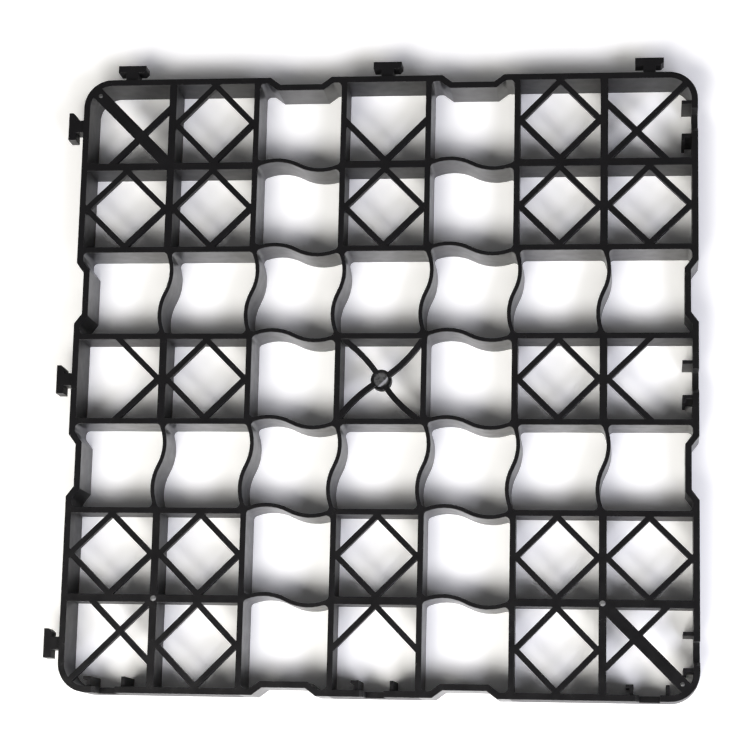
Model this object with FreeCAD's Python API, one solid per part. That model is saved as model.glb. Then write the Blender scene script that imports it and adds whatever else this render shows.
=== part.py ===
import FreeCAD, Part
import math
import os

# Grass paver grid: a square plastic ground tile of open and braced cells, moulded in one piece.
# Frame: millimetres, the tile lies flat with +Z up. Hook tabs stand out on the -X and +Y sides,
# and the sockets that take a neighbour's tabs are in the +X and -Y sides.
# The origin is at the bottom centre of the box round the tile and its tabs.

# Tile
TILE_SIDE = 500.0
TILE_HEIGHT = 38.0
TILE_CORNER_RADIUS = 23.0
OUTER_WALL = 5.0

# Cell walls
CELL_PITCH = 70.3
CELL_WALL = 3.2
WAVE_RISE = 4.3
CELL_CORNER_RADIUS = 3.5

# Recesses in the outer wall, beside the rows of open cells
RECESS_MOUTH = 50.0
RECESS_FLOOR = 34.0
RECESS_DEPTH = 6.0

# Bracing bars and the lips of the braced cells, flush with the top
BAR_WIDTH = 4.5
THICK_BAR_WIDTH = 9.6
BAR_DEPTH = 5.0
BAR_INSET = 3.4
CROSS_BAR_REACH = 51.5
LIP_WIDTH = 1.4

# Gate boss in the middle cell, hung below the top on four sloping curved arms
BOSS_DIAMETER = 16.5
BOSS_DEPTH = 8.0
BOSS_DROP = 5.0
DIMPLE_DIAMETER = 12.5
DIMPLE_DEPTH = 3.0
ARM_BOW = 3.0

# Hook tabs, at the middle cell and the end cells of two sides
TAB_STEM_WIDTH = 10.0
TAB_HEAD_LENGTH = 23.0
TAB_HEAD_THICKNESS = 6.0
TAB_HEAD_CHAMFER = 2.5
TAB_DROP = 3.0
TAB_HEIGHT = 15.0

# Sockets
JOINT_SLACK = 2.0
STEM_CLEARANCE = 3.0
HEAD_CLEARANCE = 0.75
SEAT_CLEARANCE = 0.5
NOTCH_LEAD = 3.0
RIB_THICKNESS = 3.0
RIB_DROP = 3.0
RIB_FOOT_WIDTH = 6.0
RIB_FOOT_THICKNESS = 2.5

# Layout: seven rows and columns, numbered from -3 to 3 about the middle cell
CELL_STEPS = range(-3, 4)
WAVE_STEPS = (-1, 1)
BRACED_STEPS = (-3, -2, 0, 2, 3)
LAST_STEP = CELL_STEPS[-1]

# Sizes that follow
HALF_SIDE = TILE_SIDE / 2
TAB_STEM_LENGTH = OUTER_WALL + JOINT_SLACK
TAB_REACH = TAB_STEM_LENGTH + TAB_HEAD_THICKNESS
TAB_BOTTOM = TILE_HEIGHT - TAB_DROP - TAB_HEIGHT
NOTCH_WIDTH = TAB_STEM_WIDTH + 2 * STEM_CLEARANCE
NOTCH_FLOOR = TAB_BOTTOM - SEAT_CLEARANCE
RIB_LENGTH = TAB_HEAD_THICKNESS + JOINT_SLACK
RIB_OFFSET = TAB_HEAD_LENGTH / 2 + HEAD_CLEARANCE + RIB_THICKNESS / 2
OUTER_LINE = HALF_SIDE - OUTER_WALL / 2
MIDDLE_LINE = CELL_PITCH / 2
WALL_LINES = tuple(CELL_PITCH * step - MIDDLE_LINE for step in CELL_STEPS[1:])
LAST_LINE = WALL_LINES[-1]
CELL_BOUNDS = (-OUTER_LINE,) + WALL_LINES + (OUTER_LINE,)
TAB_STATION = (LAST_LINE + OUTER_LINE) / 2
TAB_STATIONS = (-TAB_STATION, 0.0, TAB_STATION)
BODY_CENTRE = FreeCAD.Vector(TAB_REACH / 2, -TAB_REACH / 2, 0)

ORIGIN = FreeCAD.Vector(0, 0, 0)
UP = FreeCAD.Vector(0, 0, 1)
OFFSET_JOINS = ("arc", "tangent", "sharp")


def point(x, y, z=0.0):
    return FreeCAD.Vector(x, y, z)


def cell_edges(step):
    """The two wall lines that bound a row or column of cells."""
    index = step + LAST_STEP
    return CELL_BOUNDS[index], CELL_BOUNDS[index + 1]


def cell_middle(step):
    return sum(cell_edges(step)) / 2


def turned(shape, quarter_turns):
    """A copy of a shape turned about the tile's middle, counter-clockwise seen from above."""
    copy = shape.copy()
    copy.rotate(ORIGIN, UP, 90 * quarter_turns)
    return copy


def polygon_face(points):
    return Part.Face(Part.makePolygon(points + points[:1]))


def rounded_corners(face, radius):
    """The face with its outward corners rounded."""
    join = OFFSET_JOINS.index("arc")
    return face.makeOffset2D(-radius, join=join).makeOffset2D(radius, join=join)


def strip(start, end, width):
    """A flat straight strip of the given width between two points."""
    along = (end - start).normalize()
    side = along.cross(UP) * (width / 2)
    return polygon_face([start + side, end + side, end - side, start - side])


def arc_strip(start, end, width, rise):
    """A flat strip along an arc that rises to the left of its travel, or to the right if negative."""
    span = end - start
    left = UP.cross(span).normalize()
    half = span.Length / 2
    radius = (half ** 2 + rise ** 2) / (2 * rise)
    crest = start + span * 0.5 + left * rise
    centre = crest - left * radius
    start_normal = (start - centre) / radius
    end_normal = (end - centre) / radius

    def edge_arc(offset):
        first = start + start_normal * offset
        last = end + end_normal * offset
        return Part.Arc(first, crest + left * offset, last).toShape()

    def end_cap(place, normal):
        return Part.makeLine(place + normal * (width / 2), place - normal * (width / 2))

    edges = [edge_arc(width / 2), end_cap(end, end_normal),
             edge_arc(-width / 2), end_cap(start, start_normal)]
    return Part.Face(Part.Wire(Part.__sortEdges__(edges)))


def wave_strips(start, end, width, rise):
    """Two flat strips along one S wave of two arcs, which rises first to the left of its travel."""
    middle = (start + end) * 0.5
    return [arc_strip(start, middle, width, rise), arc_strip(middle, end, width, -rise)]


def tile_outline():
    """The tile's outer outline, with rounded corners and two shallow recesses in each side."""
    outline = polygon_face([point(-HALF_SIDE, -HALF_SIDE), point(HALF_SIDE, -HALF_SIDE),
                            point(HALF_SIDE, HALF_SIDE), point(-HALF_SIDE, HALF_SIDE)])
    outline = rounded_corners(outline, TILE_CORNER_RADIUS)
    slope = (RECESS_MOUTH - RECESS_FLOOR) / 2 / RECESS_DEPTH
    wide = RECESS_MOUTH / 2 + slope * RECESS_DEPTH
    recesses = []
    for step in WAVE_STEPS:
        middle = cell_middle(step)
        recess = polygon_face([
            point(middle - wide, HALF_SIDE + RECESS_DEPTH),
            point(middle - RECESS_FLOOR / 2, HALF_SIDE - RECESS_DEPTH),
            point(middle + RECESS_FLOOR / 2, HALF_SIDE - RECESS_DEPTH),
            point(middle + wide, HALF_SIDE + RECESS_DEPTH),
        ])
        recesses += [turned(recess, quarter) for quarter in range(4)]
    return outline.cut(recesses).Faces[0]


def wall_strips():
    """Plan of the cell walls: straight beside the braced cells, waved beside the open ones."""
    rows = []
    for y in WALL_LINES:
        for step in CELL_STEPS:
            left, right = cell_edges(step)
            start = point(left, y)
            end = point(right, y)
            if step in WAVE_STEPS:
                rows += wave_strips(start, end, CELL_WALL, WAVE_RISE)
            else:
                rows.append(strip(start, end, CELL_WALL))
    columns = [turned(row, -1) for row in rows]
    crossings = []
    for x in WALL_LINES:
        for y in WALL_LINES:
            circle = Part.Circle(point(x, y), UP, CELL_WALL / 2)
            crossings.append(Part.Face(Part.Wire(circle.toShape())))
    return rows + columns + crossings


def is_braced(cell):
    """True for a cell of the plan that lies in no waved row or column."""
    middle = cell.CenterOfMass
    steps = (round(middle.x / CELL_PITCH), round(middle.y / CELL_PITCH))
    return all(step in BRACED_STEPS for step in steps)


def cell_wall_lattice():
    """Outer wall and cell walls at full height, with rounded corners in the open cells."""
    outline = tile_outline()
    inside = outline.makeOffset2D(-OUTER_WALL, join=OFFSET_JOINS.index("sharp"))
    openings = []
    for cell in inside.cut(wall_strips()).Faces:
        if not is_braced(cell):
            cell = rounded_corners(cell, CELL_CORNER_RADIUS).Faces[0]
        openings.append(cell.OuterWire)
    plan = Part.makeFace([outline.OuterWire] + openings, "Part::FaceMakerBullseye")
    return plan.extrude(UP * TILE_HEIGHT)


def bar(start, end, width):
    """A bracing bar between two points of the plan, flush with the top."""
    plan = strip(start, end, width)
    plan.translate(UP * (TILE_HEIGHT - BAR_DEPTH))
    return plan.extrude(UP * BAR_DEPTH)


def diamond_bar(first_tip, second_tip):
    """A bar along one side of a diamond, run on past the tips into the walls."""
    run_on = (second_tip - first_tip).normalize() * (BAR_INSET * math.sqrt(2))
    return bar(first_tip - run_on, second_tip + run_on, BAR_WIDTH)


def diamond_bars(column, row):
    """Four bars with tips at the middles of a cell's walls, or the inner two in the middle of a side."""
    left, right = cell_edges(column)
    near, far = cell_edges(row)
    tips = {
        "left": point(left + BAR_INSET, cell_middle(row)),
        "near": point(cell_middle(column), near + BAR_INSET),
        "right": point(right - BAR_INSET, cell_middle(row)),
        "far": point(cell_middle(column), far - BAR_INSET),
    }
    open_side = {(-LAST_STEP, 0): "left", (LAST_STEP, 0): "right",
                 (0, -LAST_STEP): "near", (0, LAST_STEP): "far"}.get((column, row))
    sides = [("left", "near"), ("near", "right"), ("right", "far"), ("far", "left")]
    return [diamond_bar(tips[first], tips[second]) for first, second in sides
            if open_side not in (first, second)]


def cell_lips(column, row):
    """The lip along each cell wall round a braced cell."""
    left, right = cell_edges(column)
    near, far = cell_edges(row)
    width = CELL_WALL / 2 + LIP_WIDTH
    inset = width / 2
    sides = [
        (left, point(left + inset, near), point(left + inset, far)),
        (right, point(right - inset, near), point(right - inset, far)),
        (near, point(left, near + inset), point(right, near + inset)),
        (far, point(left, far - inset), point(right, far - inset)),
    ]
    return [bar(start, end, width) for line, start, end in sides if line in WALL_LINES]


def corner_bars(x_sign, y_sign):
    """The two crossed bars of a corner cell; two opposite corners have the thick diagonal."""
    inner_end = LAST_LINE + CELL_WALL / 2
    arc_centre = HALF_SIDE - TILE_CORNER_RADIUS
    outer_end = arc_centre + (TILE_CORNER_RADIUS - OUTER_WALL / 2) / math.sqrt(2)
    diagonal_width = THICK_BAR_WIDTH if x_sign != y_sign else BAR_WIDTH
    diagonal = bar(point(x_sign * inner_end, y_sign * inner_end),
                   point(x_sign * outer_end, y_sign * outer_end), diagonal_width)
    cross_end = LAST_LINE + CROSS_BAR_REACH
    cross = bar(point(x_sign * cross_end, y_sign * LAST_LINE),
                point(x_sign * LAST_LINE, y_sign * cross_end), BAR_WIDTH)
    return [diagonal, cross]


def gate_boss():
    """A dimpled round boss below the top, on four curved arms that slope down from the cell's corners."""
    boss_top = TILE_HEIGHT - BOSS_DROP
    boss = Part.makeCylinder(BOSS_DIAMETER / 2, BOSS_DEPTH, point(0, 0, boss_top - BOSS_DEPTH))
    corner_distance = MIDDLE_LINE * math.sqrt(2)
    slope = polygon_face([
        point(0, -MIDDLE_LINE, boss_top),
        point(corner_distance, -MIDDLE_LINE, TILE_HEIGHT),
        point(corner_distance, -MIDDLE_LINE, TILE_HEIGHT - BAR_DEPTH),
        point(0, -MIDDLE_LINE, boss_top - BAR_DEPTH),
    ]).extrude(point(0, CELL_PITCH, 0))
    plan = arc_strip(ORIGIN, point(corner_distance, 0), BAR_WIDTH, -ARM_BOW)
    arm = plan.extrude(UP * TILE_HEIGHT).common(slope)
    arm.rotate(ORIGIN, UP, 45)
    boss = boss.multiFuse([turned(arm, quarter) for quarter in range(4)])
    dimple = Part.makeCylinder(DIMPLE_DIAMETER / 2, 2 * DIMPLE_DEPTH, point(0, 0, boss_top - DIMPLE_DEPTH))
    return boss.cut(dimple)


def bracing():
    """The lips and bars: diamonds in the braced cells, crosses in the corner cells, and the gate boss."""
    bars = [gate_boss()]
    for column in BRACED_STEPS:
        for row in BRACED_STEPS:
            bars += cell_lips(column, row)
            in_corner = abs(column) == LAST_STEP and abs(row) == LAST_STEP
            if in_corner:
                bars += corner_bars(math.copysign(1, column), math.copysign(1, row))
            elif (column, row) != (0, 0):
                bars += diamond_bars(column, row)
    return bars


def tab(station):
    """A T-shaped hook tab on the -X side, with its lead-in chamfer on the head's inner +Y corner."""
    stem = Part.makeBox(OUTER_WALL / 2 + TAB_STEM_LENGTH, TAB_STEM_WIDTH, TAB_HEIGHT,
                        point(-HALF_SIDE - TAB_STEM_LENGTH, station - TAB_STEM_WIDTH / 2, TAB_BOTTOM))
    tip = -HALF_SIDE - TAB_REACH
    root = -HALF_SIDE - TAB_STEM_LENGTH
    low = station - TAB_HEAD_LENGTH / 2
    high = station + TAB_HEAD_LENGTH / 2
    head = polygon_face([
        point(tip, low, TAB_BOTTOM),
        point(root, low, TAB_BOTTOM),
        point(root, high - TAB_HEAD_CHAMFER, TAB_BOTTOM),
        point(root - TAB_HEAD_CHAMFER, high, TAB_BOTTOM),
        point(tip, high, TAB_BOTTOM),
    ]).extrude(UP * TAB_HEIGHT)
    return stem.fuse(head)


def socket_notch(station):
    """The slot through the -Y outer wall that a neighbour's tab stem drops into."""
    left = station - NOTCH_WIDTH / 2
    right = station + NOTCH_WIDTH / 2
    outside = -HALF_SIDE - OUTER_WALL
    profile = polygon_face([
        point(left, outside, NOTCH_FLOOR),
        point(right, outside, NOTCH_FLOOR),
        point(right, outside, TILE_HEIGHT),
        point(left - NOTCH_LEAD, outside, TILE_HEIGHT),
        point(left, outside, TILE_HEIGHT - NOTCH_LEAD),
    ])
    return profile.extrude(point(0, 2 * OUTER_WALL, 0))


def socket_ribs(station):
    """Two upright ribs behind the -Y outer wall that flank a neighbour's tab head."""
    wall_inside = -HALF_SIDE + OUTER_WALL
    height = TILE_HEIGHT - RIB_DROP
    length = OUTER_WALL / 2 + RIB_LENGTH
    ribs = []
    for side in (-1, 1):
        middle = station + side * RIB_OFFSET
        ribs.append(Part.makeBox(RIB_THICKNESS, length, height,
                                 point(middle - RIB_THICKNESS / 2, wall_inside - OUTER_WALL / 2, 0)))
    foot_right = station - RIB_OFFSET + RIB_THICKNESS / 2
    foot = Part.makeBox(RIB_FOOT_WIDTH, RIB_FOOT_THICKNESS, height,
                        point(foot_right - RIB_FOOT_WIDTH, wall_inside + RIB_LENGTH - RIB_FOOT_THICKNESS, 0))
    return ribs + [foot]


def paver_grid():
    """The whole tile as one moulded solid."""
    added = bracing()
    notches = []
    for station in TAB_STATIONS:
        added += [turned(tab(station), quarter) for quarter in (0, -1)]
        for quarter in (0, 1):
            added += [turned(rib, quarter) for rib in socket_ribs(station)]
            notches.append(turned(socket_notch(station), quarter))
    tile = cell_wall_lattice().multiFuse(added).cut(notches).removeSplitter()
    tile = tile.Solids[0]
    tile.translate(BODY_CENTRE)
    return tile


os.makedirs("parts", exist_ok=True)
paver_grid().exportStep("parts/paver_grid.step")
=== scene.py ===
import bmesh
import bpy
import math
from mathutils import Matrix, Vector


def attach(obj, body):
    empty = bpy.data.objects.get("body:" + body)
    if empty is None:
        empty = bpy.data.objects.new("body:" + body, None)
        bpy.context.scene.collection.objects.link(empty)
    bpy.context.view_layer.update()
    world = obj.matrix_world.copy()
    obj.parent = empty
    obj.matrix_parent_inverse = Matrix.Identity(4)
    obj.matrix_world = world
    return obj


# Grass paver grid: one black moulded tile on a white floor, seen from above and in front. Metres.
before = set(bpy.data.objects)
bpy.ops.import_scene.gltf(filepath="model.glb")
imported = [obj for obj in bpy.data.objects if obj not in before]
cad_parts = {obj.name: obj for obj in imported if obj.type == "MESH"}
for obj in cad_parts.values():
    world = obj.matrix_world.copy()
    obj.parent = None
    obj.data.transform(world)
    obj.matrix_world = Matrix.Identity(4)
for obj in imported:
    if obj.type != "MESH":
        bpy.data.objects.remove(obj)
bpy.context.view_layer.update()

# Places on the tile, as in the part
TILE_TOP = 0.038
TAB_REACH = 0.013
TILE_MIDDLE = Vector((TAB_REACH / 2, -TAB_REACH / 2, 0.0))
CELL_PITCH = 0.0703
LAST_LINE = 2.5 * CELL_PITCH
BOSS_DROP = 0.005
DIMPLE_DEPTH = 0.003
DIMPLE_FLOOR = TILE_TOP - BOSS_DROP - DIMPLE_DEPTH

# Edges of the tile: those that turn more than the sharp angle are rounded
EDGE_ROUNDING = 0.0005
EDGE_STEPS = 2
SHARP_ANGLE = math.radians(35)
FLAT_ANGLE = math.radians(0.5)
WELD_DISTANCE = 0.000002

# Moulding marks: the cut-off gate in the boss, and pips on two wall crossings and the thick bars' ends
GATE_STUB_RADIUS = 0.0058
GATE_STUB_HEIGHT = 0.0020
GATE_STUB_SIDES = 40
SHEAR_START = 0.0020
SHEAR_TILT = math.radians(28)
SHEAR_TOWARDS = Vector((1, -1, 0)).normalized()
PIP_RADIUS = 0.0023
BAR_PIP_RADIUS = 0.0017
PIP_HEIGHT = 0.0007
PIP_SIDES = 24
PIP_RINGS = 12
BAR_END = 0.2365

# Black plastic. Noise scales are per metre, and most of a noise lies between its low and high values.
NOISE_LOW = 0.3
NOISE_HIGH = 0.7
PLASTIC_IOR = 1.5
MOTTLING_SCALE = 45.0
DARK_BLACK = (0.0040, 0.0037, 0.0042)
LIGHT_BLACK = (0.0066, 0.0062, 0.0069)
GLOSS_SCALE = 110.0
GLOSSY_ROUGHNESS = 0.20
SATIN_ROUGHNESS = 0.28
SINK_MARK_SCALE = 90.0
SINK_MARK_DEPTH = 0.0004
SINK_MARK_STRENGTH = 0.08
GRAIN_SCALE = 1800.0
GRAIN_DEPTH = 0.00001
GRAIN_STRENGTH = 0.5

# Matt upright faces. Which cell a face belongs to is read just off the face, and its slope from its normal.
MATT_ROUGHNESS = 0.26
OPEN_CELL_MATTNESS = 0.3
FACE_OFFSET = Vector((0.002, 0.002, 0.002))
UPRIGHT_BELOW = 0.2
LEVEL_ABOVE = 0.8

# Scuffed plastic, painted paler than the tile: its greys are painted sheen on the gate stump and the pips,
# and partly a real scuff at the gate
SCUFF_SCALE = 420.0
SCUFF_DEPTH = 0.0003
SCUFF_STRENGTH = 0.2
SCUFF_GLOSSY_ROUGHNESS = 0.22
SCUFF_MATT_ROUGHNESS = 0.36
# The gate stump's and bar-end pips' greys: painted sheen over a scuffed plastic
GATE_SCAR_AND_SHEEN_GREYS = (0.03, 0.095)
# The crossing pips' greys: a painted glint, pale so that the pips show as light spots
PIP_PAINTED_GLINT_GREYS = (0.09, 0.22)

# Floor, and its glow, which grows with the distance from the tile
FLOOR_SIZE = 30.0
FLOOR_WHITE = 0.97
SEEN_FLOOR_WHITE = 1.2
GLOW_STRENGTH = 0.85
GLOW_START = 0.3
GLOW_END = 2.5

# Room, with a white backdrop that fades out between two heights of a ray's direction
ROOM_LIGHT = 0.14
BACKDROP_LIGHT = 0.88
BACKDROP_FADE_START = 0.25
BACKDROP_FADE_END = 0.55

# Lamps
LAMP_DISTANCE = 2.4
WHITE = (1.0, 1.0, 1.0)
WARM_WHITE = (1.0, 0.975, 0.925)
COOL_WHITE = (0.90, 0.90, 1.0)

# Camera
STATION_POINT = Vector((0.2177, -0.3466, 1.8174))
AIM = Vector((0.0, 0.0, TILE_TOP / 2))
VIEW_WIDTH = 0.60
SENSOR_WIDTH = 36.0

scene = bpy.context.scene
scene.view_settings.view_transform = "Standard"


class NodeTree:
    """The emptied node tree of a material or world, with short calls for the nodes used most."""

    def __init__(self, owner):
        owner.use_nodes = True
        self.nodes = owner.node_tree.nodes
        self.links = owner.node_tree.links
        self.nodes.clear()

    def add(self, kind, inputs=None, operation=None):
        """A new node. Each of its inputs is a constant or another node's output."""
        node = self.nodes.new(kind)
        if operation is not None:
            node.operation = operation
        for key, value in (inputs or {}).items():
            if isinstance(value, bpy.types.NodeSocket):
                self.links.new(value, node.inputs[key])
            else:
                node.inputs[key].default_value = value
        return node

    def noise(self, scale, detail, roughness=0.5):
        """A noise texture in object space."""
        place = self.add("ShaderNodeTexCoord").outputs["Object"]
        texture = self.add("ShaderNodeTexNoise", {"Vector": place, "Scale": scale, "Detail": detail,
                                                  "Roughness": roughness})
        return texture.outputs["Fac"]

    def shades(self, noise, dark, light):
        """A colour from dark to light that follows a noise."""
        node = self.add("ShaderNodeValToRGB", {"Fac": noise})
        first, last = node.color_ramp.elements
        first.position = NOISE_LOW
        first.color = (*dark, 1.0)
        last.position = NOISE_HIGH
        last.color = (*light, 1.0)
        return node.outputs["Color"]

    def spread(self, value, low, high, start=0.0, end=1.0):
        """A value from start to end spread over the range from low to high."""
        node = self.add("ShaderNodeMapRange", {"Value": value, "From Min": start, "From Max": end,
                                               "To Min": low, "To Max": high})
        return node.outputs["Result"]

    def bump(self, height, depth, strength, below=None):
        """The normal of a relief, which lies over the relief below it if there is one."""
        inputs = {"Height": height, "Distance": depth, "Strength": strength}
        if below is not None:
            inputs["Normal"] = below
        return self.add("ShaderNodeBump", inputs).outputs["Normal"]

    def maths(self, operation, *values):
        """A number worked out from numbers."""
        node = self.add("ShaderNodeMath", dict(enumerate(values)), operation=operation)
        return node.outputs["Value"]

    def vector_maths(self, operation, *values, result="Vector"):
        """A vector, or a number if the result is Value, worked out from vectors."""
        node = self.add("ShaderNodeVectorMath", dict(enumerate(values)), operation=operation)
        return node.outputs[result]

    def axes(self, vector):
        """The X, Y and Z of a vector, by name."""
        return self.add("ShaderNodeSeparateXYZ", {"Vector": vector}).outputs

    def seen(self):
        """One in the rays that show a background, which are the camera's, mirrored and transmitted ones."""
        rays = self.add("ShaderNodeLightPath").outputs
        seen_or_mirrored = self.maths("MAXIMUM", rays["Is Camera Ray"], rays["Is Glossy Ray"])
        return self.maths("MAXIMUM", seen_or_mirrored, rays["Is Transmission Ray"])


def in_open_rows(tree, place):
    """One where a place, taken from the tile's middle, is in a row or column of open cells."""
    axes = tree.axes(tree.vector_maths("ABSOLUTE", place))
    bands = [tree.maths("COMPARE", axes[axis], CELL_PITCH, CELL_PITCH / 2) for axis in ("X", "Y")]
    return tree.maths("MAXIMUM", *bands)


def matt_sides(tree):
    """One on the matt upright faces of the braced cells, less on those of the open cells, nought on top."""
    here = tree.add("ShaderNodeTexCoord").outputs
    from_middle = tree.vector_maths("SUBTRACT", here["Object"], TILE_MIDDLE)
    off_face = tree.vector_maths("MULTIPLY_ADD", here["Normal"], FACE_OFFSET, from_middle)
    mattness = tree.spread(in_open_rows(tree, off_face), 1.0, OPEN_CELL_MATTNESS)
    upright = tree.spread(tree.axes(here["Normal"])["Z"], 1.0, 0.0, UPRIGHT_BELOW, LEVEL_ABOVE)
    return tree.maths("MULTIPLY", mattness, upright)


def plastic_surface(tree, colour, roughness, normal):
    """The shader of a plastic, from its colour, roughness and normal."""
    shader = tree.add("ShaderNodeBsdfPrincipled", {"Base Color": colour, "Roughness": roughness,
                                                   "Normal": normal, "IOR": PLASTIC_IOR})
    tree.add("ShaderNodeOutputMaterial", {"Surface": shader.outputs["BSDF"]})


def black_plastic():
    """Satin black moulded plastic, with faint mottling, uneven gloss, soft sink marks and a fine grain."""
    material = bpy.data.materials.new("black_plastic")
    tree = NodeTree(material)
    colour = tree.shades(tree.noise(MOTTLING_SCALE, detail=4.0, roughness=0.6), DARK_BLACK, LIGHT_BLACK)
    gloss = tree.noise(GLOSS_SCALE, detail=3.0)
    satin = tree.spread(gloss, GLOSSY_ROUGHNESS, SATIN_ROUGHNESS, NOISE_LOW, NOISE_HIGH)
    matt = tree.spread(matt_sides(tree), 0.0, MATT_ROUGHNESS)
    roughness = tree.maths("ADD", satin, matt)
    sink_marks = tree.bump(tree.noise(SINK_MARK_SCALE, detail=2.0), SINK_MARK_DEPTH, SINK_MARK_STRENGTH)
    grain = tree.bump(tree.noise(GRAIN_SCALE, detail=2.0), GRAIN_DEPTH, GRAIN_STRENGTH, sink_marks)
    plastic_surface(tree, colour, roughness, grain)
    return material


def scuffed_plastic_with_painted_sheen(name, greys):
    """Torn, scuffed black plastic between two greys, paler than the tile's black: painted sheen on small
    moulding marks, and partly a real scuff, as where the gate was cut off.
    """
    material = bpy.data.materials.new(name)
    tree = NodeTree(material)
    scuffs = tree.noise(SCUFF_SCALE, detail=4.0, roughness=0.6)
    dark, light = greys
    colour = tree.shades(scuffs, (dark, dark, dark), (light, light, light))
    roughness = tree.spread(scuffs, SCUFF_GLOSSY_ROUGHNESS, SCUFF_MATT_ROUGHNESS, NOISE_LOW, NOISE_HIGH)
    normal = tree.bump(scuffs, SCUFF_DEPTH, SCUFF_STRENGTH)
    plastic_surface(tree, colour, roughness, normal)
    return material


def white_floor():
    """Matt white floor that takes the shadows. In the rays that show it, it is whiter and glows far off."""
    material = bpy.data.materials.new("white_floor")
    tree = NodeTree(material)
    seen = tree.seen()
    paper = tree.add("ShaderNodeBsdfDiffuse", {"Color": tree.spread(seen, FLOOR_WHITE, SEEN_FLOOR_WHITE)})
    place = tree.add("ShaderNodeTexCoord").outputs["Object"]
    distance = tree.vector_maths("LENGTH", place, result="Value")
    level = tree.spread(distance, 0.0, GLOW_STRENGTH, GLOW_START, GLOW_END)
    glow = tree.add("ShaderNodeEmission", {"Strength": tree.maths("MULTIPLY", seen, level)})
    both = tree.add("ShaderNodeAddShader", {0: paper.outputs["BSDF"], 1: glow.outputs["Emission"]})
    tree.add("ShaderNodeOutputMaterial", {"Surface": both.outputs["Shader"]})
    return material


def studio_world():
    """A dim room, white near the horizon in the rays that show it."""
    world = bpy.data.worlds.new("studio")
    tree = NodeTree(world)
    direction = tree.add("ShaderNodeTexCoord").outputs["Generated"]
    height = tree.axes(direction)["Z"]
    backdrop = tree.spread(height, BACKDROP_LIGHT, 0.0, BACKDROP_FADE_START, BACKDROP_FADE_END)
    strength = tree.maths("ADD", tree.maths("MULTIPLY", tree.seen(), backdrop), ROOM_LIGHT)
    sky = tree.add("ShaderNodeBackground", {"Color": (*WHITE, 1.0), "Strength": strength})
    tree.add("ShaderNodeOutputWorld", {"Surface": sky.outputs["Background"]})
    scene.world = world


def softbox(name, azimuth, elevation, width, height, power, colour):
    """An oblong area lamp aimed at the tile. Azimuth in degrees to the right of the near side."""
    lamp = bpy.data.lights.new(name, "AREA")
    lamp.shape = "RECTANGLE"
    lamp.size = width
    lamp.size_y = height
    lamp.energy = power
    lamp.color = colour
    turn = math.radians(azimuth)
    rise = math.radians(elevation)
    towards = Vector((math.sin(turn) * math.cos(rise), -math.cos(turn) * math.cos(rise), math.sin(rise)))
    holder = bpy.data.objects.new(name, lamp)
    holder.location = AIM + towards * LAMP_DISTANCE
    holder.rotation_euler = (-towards).to_track_quat("-Z", "Y").to_euler()
    scene.collection.objects.link(holder)


def round_edges(obj):
    """Small rounded edges, as a mould leaves them, on faces joined from their triangles."""
    weld = obj.modifiers.new("weld", "WELD")
    weld.merge_threshold = WELD_DISTANCE
    flat = obj.modifiers.new("flat_faces", "DECIMATE")
    flat.decimate_type = "DISSOLVE"
    flat.angle_limit = FLAT_ANGLE
    edges = obj.modifiers.new("rounded_edges", "BEVEL")
    edges.width = EDGE_ROUNDING
    edges.segments = EDGE_STEPS
    edges.limit_method = "ANGLE"
    edges.angle_limit = SHARP_ANGLE
    shading = obj.modifiers.new("even_shading", "WEIGHTED_NORMAL")
    shading.keep_sharp = True


def add_piece(name, bm, place, material):
    """A finished mesh at a place on the tile, which goes with the part."""
    mesh = bpy.data.meshes.new(name)
    bm.to_mesh(mesh)
    bm.free()
    mesh.materials.append(material)
    piece = bpy.data.objects.new(name, mesh)
    piece.location = place
    scene.collection.objects.link(piece)
    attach(piece, "root")


def gate_stub(material):
    """The stump of the cut-off gate in the boss's dimple, sheared off at a slant towards the near right."""
    bm = bmesh.new()
    bmesh.ops.create_cone(bm, cap_ends=True, segments=GATE_STUB_SIDES, radius1=GATE_STUB_RADIUS,
                          radius2=GATE_STUB_RADIUS, depth=GATE_STUB_HEIGHT,
                          matrix=Matrix.Translation((0, 0, GATE_STUB_HEIGHT / 2)))
    ridge = SHEAR_TOWARDS * SHEAR_START + Vector((0, 0, GATE_STUB_HEIGHT))
    slant = SHEAR_TOWARDS * math.sin(SHEAR_TILT) + Vector((0, 0, math.cos(SHEAR_TILT)))
    bmesh.ops.bisect_plane(bm, geom=bm.verts[:] + bm.edges[:] + bm.faces[:], plane_co=ridge, plane_no=slant,
                           clear_outer=True)
    bmesh.ops.holes_fill(bm, edges=bm.edges)
    bmesh.ops.recalc_face_normals(bm, faces=bm.faces)
    add_piece("gate_stub", bm, TILE_MIDDLE + Vector((0, 0, DIMPLE_FLOOR)), material)


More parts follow.
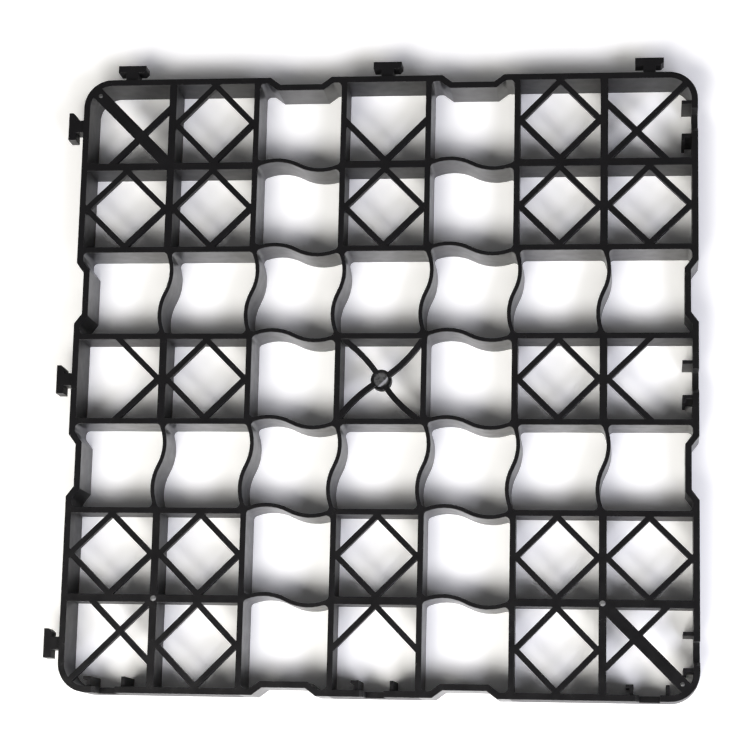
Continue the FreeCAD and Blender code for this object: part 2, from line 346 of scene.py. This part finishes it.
def pip(name, x, y, radius, material):
    """A low round pip on the top, as a mould's pin leaves it."""
    bm = bmesh.new()
    bmesh.ops.create_uvsphere(bm, u_segments=PIP_SIDES, v_segments=PIP_RINGS, radius=1.0)
    bmesh.ops.scale(bm, vec=(radius, radius, PIP_HEIGHT), verts=bm.verts)
    for face in bm.faces:
        face.smooth = True
    add_piece(name, bm, TILE_MIDDLE + Vector((x, y, TILE_TOP)), material)


def place_camera():
    """A camera at the station point, with the tile's rows level in the picture."""
    view = AIM - STATION_POINT
    lens = bpy.data.cameras.new("camera")
    lens.sensor_width = SENSOR_WIDTH
    lens.lens = SENSOR_WIDTH * view.length / VIEW_WIDTH
    ahead = view.normalized()
    across = (Vector((1, 0, 0)) - ahead * ahead.x).normalized()
    above = across.cross(ahead)
    camera = bpy.data.objects.new("camera", lens)
    facing = Matrix((across, above, -ahead)).transposed().to_4x4()
    camera.matrix_world = Matrix.Translation(STATION_POINT) @ facing
    scene.collection.objects.link(camera)
    scene.camera = camera


# The tile
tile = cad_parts["paver_grid"]
tile.data.materials.clear()
tile.data.materials.append(black_plastic())
round_edges(tile)

# Moulding marks. Their pale greys are painted highlights: a painted glint on the crossing pips, and painted
# sheen with real scuffing on the gate stump and the bars' ends
gate_scar_and_sheen = scuffed_plastic_with_painted_sheen("gate_scar_and_sheen", GATE_SCAR_AND_SHEEN_GREYS)
# The crossing pips' pale grey is a painted glint, not a colour of their own
pip_painted_glint = scuffed_plastic_with_painted_sheen("pip_painted_glint", PIP_PAINTED_GLINT_GREYS)
gate_stub(gate_scar_and_sheen)
pip("pip_left", -LAST_LINE, -LAST_LINE, PIP_RADIUS, pip_painted_glint)
pip("pip_right", LAST_LINE, -LAST_LINE, PIP_RADIUS, pip_painted_glint)
pip("pip_near_bar", BAR_END, -BAR_END, BAR_PIP_RADIUS, gate_scar_and_sheen)
pip("pip_far_bar", -BAR_END, BAR_END, BAR_PIP_RADIUS, gate_scar_and_sheen)

# Floor, light and sky
bpy.ops.mesh.primitive_plane_add(size=FLOOR_SIZE)
floor = bpy.context.object
floor.name = "floor"
floor.data.materials.append(white_floor())
softbox("lamp_left", azimuth=-30.0, elevation=54.0, width=1.5, height=1.1, power=44.5, colour=WARM_WHITE)
softbox("lamp_front", azimuth=0.0, elevation=54.0, width=1.1, height=0.7, power=11.4, colour=WHITE)
softbox("lamp_right", azimuth=50.0, elevation=48.0, width=1.2, height=0.8, power=34.0, colour=COOL_WHITE)
studio_world()
place_camera()
